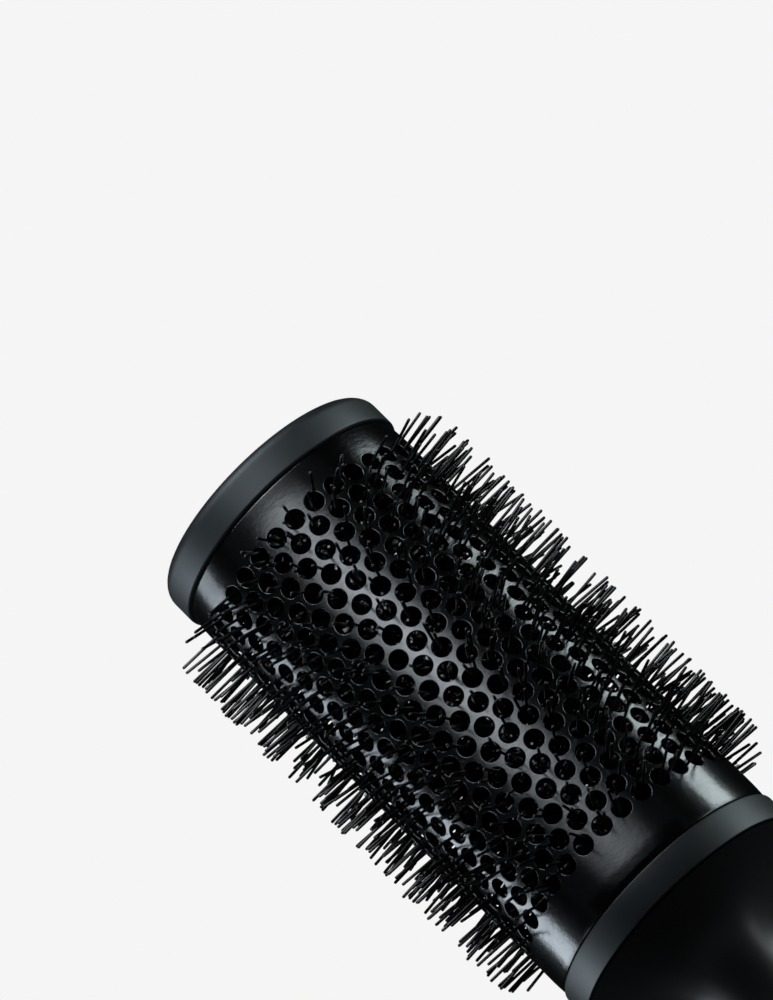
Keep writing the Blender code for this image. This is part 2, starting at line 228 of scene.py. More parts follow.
def coated_metal():
    """Satin black coating over aluminium, with a fine brushed grain round the barrel."""
    shader = Shader("coated_metal", (0.048, 0.050, 0.052), 0.20, metallic=1.0)
    grain = shader.noise(shader.round_axis(22.0, 3200.0), detail=4.0, roughness=0.6)
    cloud = shader.noise(shader.scaled((420.0, 420.0, 420.0)), detail=2.0)
    swirl = shader.noise(shader.round_axis(15.0, 950.0), detail=3.0, roughness=0.6)
    shader.vary("Roughness", grain, 0.17, 0.22)
    shader.tint(cloud, (0.045, 0.047, 0.049), (0.051, 0.053, 0.055))
    shader.bump(grain, 0.003 * MM)
    shader.bump(swirl, 0.040 * MM)
    return shader.material


def matte_trim():
    """Charcoal moulding with a fine spark-eroded grain."""
    shader = Shader("matte_trim", (0.0030, 0.0034, 0.0040), 0.50, specular=0.38)
    grain = shader.noise(shader.scaled((5200.0, 5200.0, 5200.0)), detail=2.0)
    cloud = shader.noise(shader.scaled((160.0, 160.0, 160.0)), detail=2.0)
    shader.set("Specular Tint", (0.84, 0.95, 1.0, 1.0))
    shader.vary("Roughness", cloud, 0.48, 0.52)
    shader.tint(cloud, (0.0026, 0.0030, 0.0036), (0.0034, 0.0038, 0.0044))
    shader.bump(grain, 0.010 * MM)
    return shader.material


def nylon():
    """Extruded black nylon, a little duller in patches."""
    shader = Shader("nylon", (0.0015, 0.0015, 0.0018), 0.14, specular=0.40)
    patches = shader.noise(shader.scaled((900.0, 900.0, 900.0)), detail=2.0)
    shader.vary("Roughness", patches, 0.11, 0.18)
    shader.tint(patches, (0.0012, 0.0012, 0.0015), (0.002, 0.002, 0.0024))
    return shader.material


def gloss_black():
    """Gloss black moulding, slightly hazy, with the waviness of a thick wall."""
    shader = Shader("gloss_black", (0.0075, 0.0078, 0.0088), 0.36, specular=0.46)
    wave = shader.noise(shader.scaled((60.0, 60.0, 45.0)), detail=1.0)
    haze = shader.noise(shader.scaled((700.0, 700.0, 700.0)), detail=3.0)
    shader.vary("Roughness", haze, 0.34, 0.38)
    shader.bump(wave, 0.06 * MM)
    return shader.material


def soft_touch():
    """Rubbery grip with a fine matte grain."""
    shader = Shader("soft_touch", (0.014, 0.014, 0.015), 0.62)
    grain = shader.noise(shader.scaled((3800.0, 3800.0, 3800.0)), detail=3.0)
    cloud = shader.noise(shader.scaled((120.0, 120.0, 120.0)), detail=2.0)
    shader.vary("Roughness", cloud, 0.56, 0.68)
    shader.tint(cloud, (0.012, 0.012, 0.013), (0.017, 0.017, 0.018))
    shader.bump(grain, 0.02 * MM)
    return shader.material


def moulding():
    """Plain black moulding that isn't seen from outside, with faint flow marks."""
    shader = Shader("moulding", (0.020, 0.020, 0.022), 0.48)
    flow = shader.noise(shader.scaled((260.0, 260.0, 90.0)), detail=3.0)
    shader.vary("Roughness", flow, 0.42, 0.56)
    shader.tint(flow, (0.017, 0.017, 0.019), (0.024, 0.024, 0.026))
    shader.bump(flow, 0.02 * MM)
    return shader.material


def drawn_steel():
    """Zinc-plated drawn wire with dull patches."""
    shader = Shader("steel", (0.50, 0.50, 0.52), 0.34, metallic=1.0)
    patches = shader.noise(shader.scaled((900.0, 900.0, 500.0)), detail=4.0)
    shader.vary("Roughness", patches, 0.26, 0.46)
    shader.tint(patches, (0.40, 0.40, 0.42), (0.58, 0.58, 0.60))
    shader.bump(patches, 0.01 * MM)
    return shader.material


def turned_brass():
    """Brass sleeve with fine turning rings."""
    shader = Shader("brass", (0.60, 0.44, 0.20), 0.34, metallic=1.0)
    rings = shader.noise(shader.round_axis(0.6, 6000.0), detail=2.0)
    shader.vary("Roughness", rings, 0.26, 0.42)
    shader.tint(rings, (0.52, 0.37, 0.16), (0.66, 0.50, 0.25))
    shader.bump(rings, 0.01 * MM)
    return shader.material


finishes = {
    "coated_metal": coated_metal(),
    "matte_trim": matte_trim(),
    "nylon": nylon(),
    "gloss_black": gloss_black(),
    "soft_touch": soft_touch(),
    "moulding": moulding(),
    "steel": drawn_steel(),
    "brass": turned_brass(),
}


# ---------------------------------------------------------------- mesh tools


def joined(surfaces):
    """The points and faces of several surfaces as one. Each begins with its own points and faces."""
    faces, start = [], 0
    for surface in surfaces:
        faces += [tuple(corner + start for corner in face) for face in surface[1]]
        start += len(surface[0])
    return np.concatenate([surface[0] for surface in surfaces]), faces


def bezier(knots, steps):
    """Points along a cubic Bezier curve."""
    points = []
    for step in range(steps + 1):
        t = step / steps
        weights = ((1 - t) ** 3, 3 * t * (1 - t) ** 2, 3 * t * t * (1 - t), t**3)
        point = sum((Vector(knot) * weight for knot, weight in zip(knots, weights)), Vector((0.0, 0.0)))
        points.append(tuple(point))
    return points


def place(name, mesh, slot, node):
    """Makes the mesh a piece that stands for a CAD node and takes its finish from a material slot."""
    mesh.materials.append(finishes[slot])
    piece = bpy.data.objects.new(name, mesh)
    bpy.context.scene.collection.objects.link(piece)
    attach(piece, "root")
    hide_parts(node)
    return piece


def mesh_of(name, points, faces, sharp_angle=None):
    """A smooth mesh, with sharp edges where its faces meet at more than the angle."""
    mesh = bpy.data.meshes.new(name)
    mesh.from_pydata([tuple(point) for point in points], [], [tuple(face) for face in faces])
    mesh.shade_smooth()
    if sharp_angle is not None:
        mesh.set_sharp_from_angle(angle=math.radians(sharp_angle))
    return mesh


def filleted(corners, steps):
    """The points of a closed profile whose corners, given as (radius, height, fillet), are rounded."""
    points = []
    for before, corner, after in zip(corners[-1:] + corners[:-1], corners, corners[1:] + corners[:1]):
        here, fillet = Vector(corner[:2]), corner[2]
        if fillet == 0:
            points.append(tuple(here))
            continue
        back = (Vector(before[:2]) - here).normalized()
        on = (Vector(after[:2]) - here).normalized()
        half = back.angle(on) / 2
        reach = fillet / math.tan(half)
        centre = here + (back + on).normalized() * fillet / math.sin(half)
        start = (here + back * reach - centre).normalized()
        end = (here + on * reach - centre).normalized()
        for step in range(steps + 1):
            points.append(tuple(centre + start.slerp(end, step / steps) * fillet))
    return points


def lathe(name, profile, slot, node):
    """A piece turned on the Z axis from a closed anticlockwise profile, which has the axis on its left."""
    ring_starts = []
    points = []
    for radius, height in profile:
        ring_starts.append(len(points))
        if radius < ON_AXIS:
            points.append((0.0, 0.0, height))
            continue
        for k in range(LATHE_SEGMENTS):
            angle = 2 * math.pi * k / LATHE_SEGMENTS
            points.append((radius * math.cos(angle), radius * math.sin(angle), height))
    faces = []
    for i, (radius, _) in enumerate(profile):
        j = (i + 1) % len(profile)
        low, high = ring_starts[i], ring_starts[j]
        low_axis, high_axis = radius < ON_AXIS, profile[j][0] < ON_AXIS
        if low_axis and high_axis:
            continue
        for k in range(LATHE_SEGMENTS):
            n = (k + 1) % LATHE_SEGMENTS
            if low_axis:
                faces.append((low, high + n, high + k))
            elif high_axis:
                faces.append((low + k, low + n, high))
            else:
                faces.append((low + k, low + n, high + n, high + k))
    return place(name, mesh_of(name, points, faces, LATHE_SHARP_ANGLE), slot, node)


# ---------------------------------------------------------------- barrel


def barrel_radius(height):
    """Outer radius of the barrel, which tapers slowly near each end and rolls inwards at its edge."""
    drop = 0.0
    for into_end, curves in (
        (height - barrel_bottom, (FRONT_TAPER, FRONT_ROLL)),
        (barrel_top - height, (REAR_TAPER, REAR_ROLL)),
    ):
        for length, radius in curves:
            drop += max(0.0, length - into_end) ** 2 / (2 * radius)
    return BARREL_RADIUS - drop


def roll_slope(height):
    """How fast the barrel's radius grows with height."""
    step = 0.01 * MM
    high = barrel_radius(min(height + step, barrel_top))
    low = barrel_radius(max(height - step, barrel_bottom))
    return (high - low) / (2 * step)


def vent_cell():
    """One vent's cell as rings of (distance round the barrel, height, depth, inward tilt of the normal).

    The first and last rings follow the cell's rectangle, and those between them the vent's lip and wall. The
    second array holds the angle of each point of a ring round the vent's axis.
    """
    width, height = vent_step * BARREL_RADIUS, row_pitch
    shares = [step / CELL_STEPS - 0.5 for step in range(CELL_STEPS)]
    edge = [(width / 2, share * height) for share in shares]
    edge += [(-share * width, height / 2) for share in shares]
    edge += [(-around, -along) for around, along in edge]
    turn = [2 * math.pi * k / VENT_POINTS - math.pi / 4 for k in range(VENT_POINTS)]
    circle = [(math.cos(angle), math.sin(angle)) for angle in turn]
    rings = [[(around, along, 0.0, 0.0) for around, along in edge]]
    for tilt in (0.0, math.radians(45.0), math.radians(90.0)):
        radius = VENT_RADIUS + VENT_LIP * (1 - math.sin(tilt))
        depth = VENT_LIP * (1 - math.cos(tilt))
        rings.append([(radius * x, radius * y, depth, tilt) for x, y in circle])
    rings.append([(VENT_RADIUS * x, VENT_RADIUS * y, BARREL_WALL, math.pi / 2) for x, y in circle])
    rings.append([(around, along, BARREL_WALL, math.pi) for around, along in edge])
    return np.array(rings), np.array(turn)


def rolled(around, height, depth, radius):
    """Points of the flat pattern, wrapped on the barrel at that radius less the depth."""
    angle = around / BARREL_RADIUS
    out = radius - depth
    return np.stack([out * np.cos(angle), out * np.sin(angle), height], -1)


def vented_wall():
    """Points, faces and corner normals of the wall where the vents are."""
    rings, turn = vent_cell()
    ring_count = len(rings)
    tilt = rings[:, :, 3][..., None]
    points, faces, normals = [], [], []
    for row, row_height in enumerate(row_heights):
        for vent in range(VENTS_PER_ROW):
            base = len(points) * ring_count * VENT_POINTS
            around = vent_angle(row, vent) * BARREL_RADIUS + rings[:, :, 0]
            wrapped = rolled(around, row_height + rings[:, :, 1], rings[:, :, 2], BARREL_RADIUS)
            points.append(wrapped.reshape(-1, 3))
            angle = around / BARREL_RADIUS
            outward = np.stack([np.cos(angle), np.sin(angle), np.zeros_like(angle)], -1)
            sideways = np.stack([-np.sin(angle), np.cos(angle), np.zeros_like(angle)], -1)
            inward = -sideways * np.cos(turn)[None, :, None] - np.array(Z_AXIS) * np.sin(turn)[None, :, None]
            normal = outward * np.cos(tilt) + inward * np.sin(tilt)
            for ring in range(ring_count - 1):
                # Inside the barrel the surface faces the axis, and everywhere else as the rings say.
                facing = -outward if ring == ring_count - 2 else normal
                for k in range(VENT_POINTS):
                    n = (k + 1) % VENT_POINTS
                    corners = ((ring, k), (ring, n), (ring + 1, n), (ring + 1, k))
                    faces.append(tuple(base + level * VENT_POINTS + column for level, column in corners))
                    normals += [facing[corner] for corner in corners]
    return np.concatenate(points), faces, normals


def band_columns():
    """Distances round the barrel at which the bands' points meet those of the vents' cells."""
    start = (-math.pi / 2 + vent_step / 2) * BARREL_RADIUS
    return start + np.arange(VENTS_PER_ROW * CELL_STEPS) * vent_step * BARREL_RADIUS / CELL_STEPS


def band_heights(edge, vents):
    """Heights from the barrel's edge to the vents, closest together at the edge, where the wall rolls in."""
    return edge + (vents - edge) * np.linspace(0.0, 1.0, BAND_RINGS) ** 1.5


def plain_band(heights):
    """Points, faces and corner normals of both surfaces of the plain wall between the heights."""
    around = band_columns()
    angle = around / BARREL_RADIUS
    columns = len(around)
    points, faces, normals = [], [], []
    for inside in (False, True):
        base = len(points) * columns
        levels = heights[::INNER_BAND_STRIDE] if inside else heights
        for height in levels:
            depth = BARREL_WALL if inside else 0.0
            points.append(rolled(around, np.full(columns, height), depth, barrel_radius(height)))
        for i, (low, high) in enumerate(zip(levels, levels[1:])):
            for k in range(columns):
                n = (k + 1) % columns
                a, b = base + i * columns, base + (i + 1) * columns
                face = [(a + k, k, low), (a + n, n, low), (b + n, n, high), (b + k, k, high)]
                if inside:
                    face.reverse()
                faces.append(tuple(corner[0] for corner in face))
                for _, column, height in face:
                    normal = np.array([math.cos(angle[column]), math.sin(angle[column]), -roll_slope(height)])
                    normals.append((-1 if inside else 1) * normal / np.linalg.norm(normal))
    return np.concatenate(points), faces, normals


def rolled_edge(height, down):
    """Points, faces and corner normals of the half-round edge at the barrel's lower or upper end."""
    around = band_columns()
    angle = around / BARREL_RADIUS
    columns = len(around)
    side = -1 if down else 1
    slope = abs(math.atan(roll_slope(height - side * 0.02 * MM)))
    half = BARREL_WALL / 2
    middle = barrel_radius(height) - half
    tilts = [math.pi * step / EDGE_STEPS for step in range(EDGE_STEPS + 1)]
    points, faces, normals = [], [], []
    for tilt in tilts:
        level = height + side * EDGE_BULGE * math.sin(tilt)
        points.append(rolled(around, np.full(columns, level), -half * math.cos(tilt), middle))
    for i in range(EDGE_STEPS):
        for k in range(columns):
            n = (k + 1) % columns
            a, b = i * columns, (i + 1) * columns
            face = [(a + k, k, i), (a + n, n, i), (b + n, n, i + 1), (b + k, k, i + 1)]
            if down:
                face.reverse()
            faces.append(tuple(corner[0] for corner in face))
            for _, column, ring in face:
                # The wall's own slope fades out round the edge.
                tilt = tilts[ring] + slope * math.cos(tilts[ring] / 2) ** 2
                out = math.cos(tilt)
                normal = (out * math.cos(angle[column]), out * math.sin(angle[column]), side * math.sin(tilt))
                normals.append(np.array(normal))
    return np.concatenate(points), faces, normals


def barrel():
    """The vented tube: the vents, a plain band beyond them at each end, and rolled edges."""
    front = band_heights(barrel_bottom + EDGE_BULGE, row_heights[0] - row_pitch / 2)
    rear = band_heights(barrel_top - EDGE_BULGE, row_heights[-1] + row_pitch / 2)[::-1]
    surfaces = [vented_wall(), plain_band(front), plain_band(rear)]
    surfaces += [rolled_edge(front[0], True), rolled_edge(rear[-1], False)]
    points, faces = joined(surfaces)
    # Neighbouring cells and bands share their edge points.
    keys = np.round(points / (0.001 * MM)).astype(np.int64)
    _, first, weld = np.unique(keys, axis=0, return_index=True, return_inverse=True)
    weld = weld.reshape(-1)
    mesh = mesh_of("barrel_tube", points[first], [weld[list(face)] for face in faces])
    mesh.normals_split_custom_set([tuple(normal) for surface in surfaces for normal in surface[2]])
    return place("barrel_tube", mesh, "coated_metal", "barrel")


# ---------------------------------------------------------------- filaments


def tubes(paths, radii, sides):
    """Points and faces of round tubes along the paths. Radii has one radius for each point of a path."""
    count, stations, _ = paths.shape
    along = paths[:, -1] - paths[:, 0]
    along /= np.linalg.norm(along, axis=1)[:, None]
    across = np.cross(along, Z_AXIS)
    across /= np.linalg.norm(across, axis=1)[:, None]
    other = np.cross(along, across)
    turn = 2 * math.pi * np.arange(sides) / sides
    ring = across[:, None, :] * np.cos(turn)[None, :, None] + other[:, None, :] * np.sin(turn)[None, :, None]
    points = paths[:, :, None, :] + ring[:, None, :, :] * np.asarray(radii)[None, :, None, None]
    points = points.reshape(-1, 3)
    faces = []
    for tube in range(count):
        base = tube * stations * sides
        for station in range(stations - 1):
            a, b = base + station * sides, base + (station + 1) * sides
            faces += [(a + k, a + (k + 1) % sides, b + (k + 1) % sides, b + k) for k in range(sides)]
        faces.append(tuple(reversed(range(base, base + sides))))
        end = base + (stations - 1) * sides
        faces.append(tuple(range(end, end + sides)))
    return points, faces


def polar(angle, radius, height):
    """Point at that angle round the axis, in radians, that far from it and at that height."""
    return Vector((math.cos(angle), math.sin(angle), 0.0)) * radius + Vector((0, 0, height))


def root_height(angle, near):
    """Height nearest the given one where the twisted wire pinches a filament that points along the angle."""
    twist_at_first_row = WIRE_ANGLE - math.pi / 2
    turns = (near - row_heights[0]) / row_pitch - (angle - twist_at_first_row) / math.pi
    return near - (turns - round(turns)) * row_pitch


def vent_filament(angle, height):
    """Path of one filament from the wire through the vent to its rounded tip."""
    spread = SPREAD_IN_VENT * math.sqrt(rng.random())
    where = rng.uniform(0, 2 * math.pi)
    exit_angle = angle + spread * math.cos(where) / BARREL_RADIUS
    exit_height = height + spread * math.sin(where)
    outward = polar(exit_angle, 1.0, 0.0)
    sideways = Vector((-math.sin(exit_angle), math.cos(exit_angle), 0.0))
    leave = polar(exit_angle, BARREL_RADIUS, exit_height)
    root_z = root_height(angle, height) + rng.normal(0, ROOT_SCATTER)
    root = polar(exit_angle + rng.normal(0, ROOT_TURN_SCATTER), FILAMENT_ROOT, root_z)
    line = (leave - root).normalized()
    bend = sideways * rng.normal(0, BEND_SCATTER) + Vector((0, 0, rng.normal(0, BEND_SCATTER)))
    bent = (line + bend).normalized()
    reach = FILAMENT_REACH + rng.normal(0, REACH_SCATTER)
    if rng.random() < SHORT_SHARE:
        reach -= rng.uniform(*SHORTER_BY_MM) * MM
    tip = leave + bent * ((reach - BARREL_RADIUS) / max(0.8, bent.dot(outward)))
    before, after = leave - line * FILAMENT_CURVE, leave + bent * FILAMENT_CURVE
    path = [root, root.lerp(leave, 0.5), before, leave.lerp(before.lerp(after, 0.5), 0.5), after]
    path += [tip - bent * FILAMENT_RADIUS * back for back, _ in TIP_STATIONS]
    return [tuple(point) for point in path]


def trapped_filament(height):
    """Path of one filament that met the wall between vents and lies bent inside the barrel."""
    angle = rng.uniform(0, 2 * math.pi)
    root_z = root_height(angle, height + rng.uniform(-0.5, 0.5) * row_pitch)
    root_z += rng.normal(0, TRAPPED_ROOT_SCATTER)
    lean = rng.normal(0, TRAPPED_LEAN_SCATTER)
    turn_aside = rng.uniform(*TRAPPED_TURN) * rng.choice((-1, 1))
    path = [polar(angle, FILAMENT_ROOT, root_z)]
    for share, reach in TRAPPED_STATIONS:
        radius = TRAPPED_REACH * reach
        path.append(polar(angle + turn_aside * (share - 0.5) ** 2 * 4, radius, root_z + lean * radius))
    for point in path:
        point.z = min(max(point.z, barrel_bottom + CAP_CLEARANCE), barrel_top - PLUG_CLEARANCE)
    return [tuple(point) for point in path]


def bristle_row(number):
    """The filaments of one row of vents, with those that the wall holds back."""
    name = f"filaments_{number + 1:02d}"
    height = row_heights[number]
    through = []
    for vent in range(VENTS_PER_ROW):
        for _ in range(rng.choice(FILAMENTS_IN_VENT)):
            through.append(vent_filament(vent_angle(number, vent), height))
    trapped = [trapped_filament(height) for _ in range(TRAPPED_PER_ROW)]
    through_radii = np.array(SHAFT_RADII + [radius for _, radius in TIP_STATIONS]) * FILAMENT_RADIUS
    trapped_radii = np.array(TRAPPED_RADII) * FILAMENT_RADIUS
    through_tubes = tubes(np.array(through), through_radii, VENT_FILAMENT_SIDES)
    trapped_tubes = tubes(np.array(trapped), trapped_radii, TRAPPED_SIDES)
    points, faces = joined((through_tubes, trapped_tubes))
    return place(name, mesh_of(name, points, faces, sharp_angle=60), "nylon", rows[number])


def wire_stem():
    """One wire, bent in a U in the end cap, whose halves twist together and pinch the filaments' middles."""
    bottom, top = (corner.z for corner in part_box("wire_stem"))
    room_for_bend, end_gap, straight = 1.0 * MM, 0.6 * MM, 0.6 * MM
    low, high = bottom + WIRE_OFFSET + WIRE_RADIUS + room_for_bend, top - end_gap
    turns = (high - low) / (2 * row_pitch)

    def strand(height, side):
        angle = WIRE_ANGLE + math.pi * (height - row_heights[0]) / row_pitch + side
        return np.array([math.cos(angle) * WIRE_OFFSET, math.sin(angle) * WIRE_OFFSET, height])

    heights = np.linspace(high, low, round(turns * WIRE_STEPS_PER_TURN) + 1)
    down = [strand(height, 0.0) for height in heights]
    up = [strand(height, math.pi) for height in reversed(heights)]
    out = down[-1] * np.array([1.0, 1.0, 0.0])
    bend = []
    for step in range(1, WIRE_BEND_STEPS):
        angle = math.pi * step / WIRE_BEND_STEPS
        depth = np.array([0, 0, low - straight - WIRE_OFFSET * math.sin(angle)])
        bend.append(out * math.cos(angle) + depth)
    path = down + bend + up
    curve = bpy.data.curves.new("wire_curve", "CURVE")
    curve.dimensions = "3D"
    curve.bevel_depth = WIRE_RADIUS
    curve.bevel_resolution = WIRE_SIDES // 4 - 1
    curve.use_fill_caps = True
    spline = curve.splines.new("POLY")
    spline.points.add(len(path) - 1)
    for knot, point in zip(spline.points, path):
        knot.co = (*point, 1.0)
    guide = bpy.data.objects.new("wire_guide", curve)
    bpy.context.scene.collection.objects.link(guide)
    bpy.context.view_layer.update()
    mesh = bpy.data.meshes.new_from_object(guide.evaluated_get(bpy.context.evaluated_depsgraph_get()))
    mesh.name = "twisted_wire"
    mesh.shade_smooth()
    bpy.data.objects.remove(guide)
    return place("twisted_wire", mesh, "steel", "wire_stem")


# ---------------------------------------------------------------- turned pieces


def end_cap():
    """Cap with a softly rounded rim, a dished foot, a spigot inside the barrel and a socket for the wire."""
    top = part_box("end_cap")[1].z
    spigot = BARREL_RADIUS - BARREL_WALL - 0.6 * MM
    spigot_bore = spigot - 1.6 * MM
    dish, dish_depth = 18.6 * MM, 0.9 * MM
    floor = 3.0 * MM
    boss, boss_top = 5.4 * MM, top - 1.4 * MM
    socket, socket_floor = 3.0 * MM, 4.2 * MM
    corners = [
        (dish, dish_depth, 0.6 * MM),
        (dish + 1.0 * MM, 0.0, 0.5 * MM),
        (TRIM_RADIUS, 0.0, 2.8 * MM),
        (TRIM_RADIUS, cap_top, 0.5 * MM),
        (spigot, cap_top, 0.0),
        (spigot, top, 0.4 * MM),
        (spigot_bore, top, 0.3 * MM),
        (spigot_bore, floor, 0.4 * MM),
        (boss, floor, 0.4 * MM),
        (boss, boss_top, 0.4 * MM),
        (socket, boss_top, 0.3 * MM),
        (socket, socket_floor, 0.2 * MM),
        (0.0, socket_floor, 0.0),
        (0.0, dish_depth, 0.0),
    ]
    return lathe("tip_cap", filleted(corners, 8), "matte_trim", "end_cap")


def collar():
    """Trim ring whose edges are slightly rounded, the front one the most."""
    corners = [
        (COLLAR_BORE, collar_bottom, 0.2 * MM),
        (TRIM_RADIUS, collar_bottom, 0.45 * MM),
        (TRIM_RADIUS, collar_top, 0.3 * MM),
        (COLLAR_BORE, collar_top, 0.2 * MM),
    ]
    return lathe("trim_ring", filleted(corners, 6), "matte_trim", "collar")


def shaft_radius(height):
    """Outer radius of the handle's shaft behind its neck."""
    low, high = (NECK, SWELL) if height < SWELL[1] else (SWELL, TAIL)
    share = min(1.0, max(0.0, (height - low[1]) / (high[1] - low[1])))
    return low[0] + (high[0] - low[0]) * (1 - math.cos(math.pi * share)) / 2


def handle_shell():
    """Gloss flare and neck, and the shaft under the grip, as one hollow turned shell."""
    edge = 0.1 * MM
    flare = (
        (FLARE_RADIUS, handle_bottom + edge),
        (FLARE_RADIUS - 8.9 * MM, handle_bottom + 5.3 * MM),
        (NECK[0] + 1.0 * MM, handle_bottom + 11.0 * MM),
        NECK,
    )
    profile = [(FLARE_RADIUS - edge, handle_bottom)] + bezier(flare, 32)
    recess, recess_end = grip_bottom - 0.3 * MM, grip_top + 0.3 * MM
    profile += [(shaft_radius(h), h) for h in np.linspace(NECK[1], recess, 6)[1:]]
    profile += [(shaft_radius(h) - GRIP_RECESS, h) for h in np.linspace(recess, recess_end, 30)]
    tail_radius, tail = shaft_radius(TAIL[1]), TAIL[1]
    profile += [(shaft_radius(recess_end), recess_end), (tail_radius - edge, tail - edge)]
    profile += [(tail_radius - 0.3 * MM, tail), (tail_radius - HANDLE_WALL, tail)]
    # The hollow runs through the neck into a bore, which opens into the wide socket for the base plug.
    bore, bore_end = 4.6 * MM, 134 * MM
    socket, socket_floor = 20.5 * MM, 126.8 * MM
    profile += [(shaft_radius(NECK[1]) - HANDLE_WALL, NECK[1]), (bore, bore_end)]
    profile += [(bore, socket_floor), (socket, socket_floor), (socket, handle_bottom)]
    return lathe("handle_body", profile, "gloss_black", "handle_shell")


def grip_sleeve():
    """Soft sleeve with chamfered ends and three shallow grooves near its front."""
    groove_depth, groove_width = 0.45 * MM, 0.55 * MM
    grooves = [grip_bottom + offset * MM for offset in (5, 8, 11)]
    end_drop, inner_drop = 0.4 * MM, 1.3 * MM
    profile = [(shaft_radius(grip_bottom) - end_drop, grip_bottom)]
    for height in np.linspace(grip_bottom + end_drop, grip_top - end_drop, 160):
        drop = 0.0
        for centre in grooves:
            drop += groove_depth * math.exp(-(((height - centre) / groove_width) ** 2))
        profile.append((shaft_radius(height) - drop, height))
    profile.append((shaft_radius(grip_top) - end_drop, grip_top))
    profile += [(shaft_radius(h) - inner_drop, h) for h in np.linspace(grip_top, grip_bottom, 16)]
    return lathe("soft_grip", profile, "soft_touch", "grip_sleeve")


def tail_cap():
    """Domed gloss plug with a spigot."""
    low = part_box("tail_cap")[0].z
    face = TAIL[1] + 0.3 * MM
    radius, spigot = TAIL[0], 6.3 * MM
    profile = [(0.0, low), (spigot - 0.1 * MM, low), (spigot, low + 0.1 * MM), (spigot, face)]
    profile += [(radius - 0.2 * MM, face), (radius, face + 0.2 * MM)]
    dome = (
        (radius, face + 1.0 * MM),
        (radius, tail_top - 2.4 * MM),
        (radius * 0.62, tail_top),
        (0.0, tail_top),
    )
    profile += bezier(dome, 24)
    return lathe("tail_plug", profile, "gloss_black", "tail_cap")


# ---------------------------------------------------------------- build the object

barrel()
for number in range(len(rows)):
    bristle_row(number)
wire_stem()
end_cap()
collar()
handle_shell()
grip_sleeve()
tail_cap()

# The pieces inside keep their CAD shape and get only a finish.
inner_finishes = {"base_plug": "moulding", "stem_ferrule": "brass"}
inner_finishes.update({f"plug_screw_{number}": "steel" for number in (1, 2, 3)})
for node, slot in inner_finishes.items():
    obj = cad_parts[node]
    obj.data.materials.clear()
    obj.data.materials.append(finishes[slot])


# ---------------------------------------------------------------- studio


STAGE_RADIUS = 12.0
STAGE_HEIGHT = 10.0
STAGE_SIDES = 48
PALE = (0.913, 0.913, 0.913, 1.0)
FRONT_AZIMUTH = -94.0
FAR = 0.9
COOL = (0.86, 0.93, 1.0)


def pale(name):
    """Even pale paper that only the camera sees."""
    made = bpy.data.materials.new(name)
    made.use_nodes = True
    nodes = made.node_tree.nodes
    nodes.clear()
    glow = nodes.new("ShaderNodeEmission")
    glow.inputs["Color"].default_value = PALE
    out = nodes.new("ShaderNodeOutputMaterial")
    made.node_tree.links.new(glow.outputs["Emission"], out.inputs["Surface"])
    return made


def stage_piece(name, points, faces):
    """A piece of the room that only the camera sees: it doesn't light the brush or show in its gloss."""
    mesh = bpy.data.meshes.new(name)
    mesh.from_pydata(points, [], faces)
    mesh.materials.append(pale(name))
    piece = bpy.data.objects.new(name, mesh)
    bpy.context.scene.collection.objects.link(piece)
    piece.visible_diffuse = False
    piece.visible_glossy = False
    piece.visible_transmission = False
    piece.visible_shadow = False


def studio_room():
    """A round pale floor with a pale wall and ceiling far behind the brush."""
    sides = STAGE_SIDES
    turns = [2 * math.pi * k / sides for k in range(sides)]
    ring = [(math.cos(turn) * STAGE_RADIUS, math.sin(turn) * STAGE_RADIUS) for turn in turns]
    stage_piece("floor", [(x, y, 0.0) for x, y in ring], [tuple(range(sides))])
    # A little narrower than the floor, so that no gap shows between them
    inset = 0.99
    low = [(x * inset, y * inset, -STAGE_HEIGHT) for x, y in ring]
    high = [(x * inset, y * inset, STAGE_HEIGHT) for x, y in ring]
    walls = [(k, (k + 1) % sides, sides + (k + 1) % sides, sides + k) for k in range(sides)]
    ends = [tuple(range(sides)), tuple(range(sides, 2 * sides))]
    stage_piece("backdrop", low + high, walls + ends)


def falloff(tree, position, stops):
    """Output that follows the stops, given as (position from 0 to 1, strength)."""
    ramp = tree.nodes.new("ShaderNodeValToRGB")
    tree.links.new(position, ramp.inputs["Fac"])
    elements = ramp.color_ramp.elements
    while len(elements) < len(stops):
        elements.new(0.5)
    for element, (place_at, strength) in zip(elements, stops):
        element.position = place_at
        element.color = (strength, strength, strength, 1.0)
    return ramp.outputs["Color"]


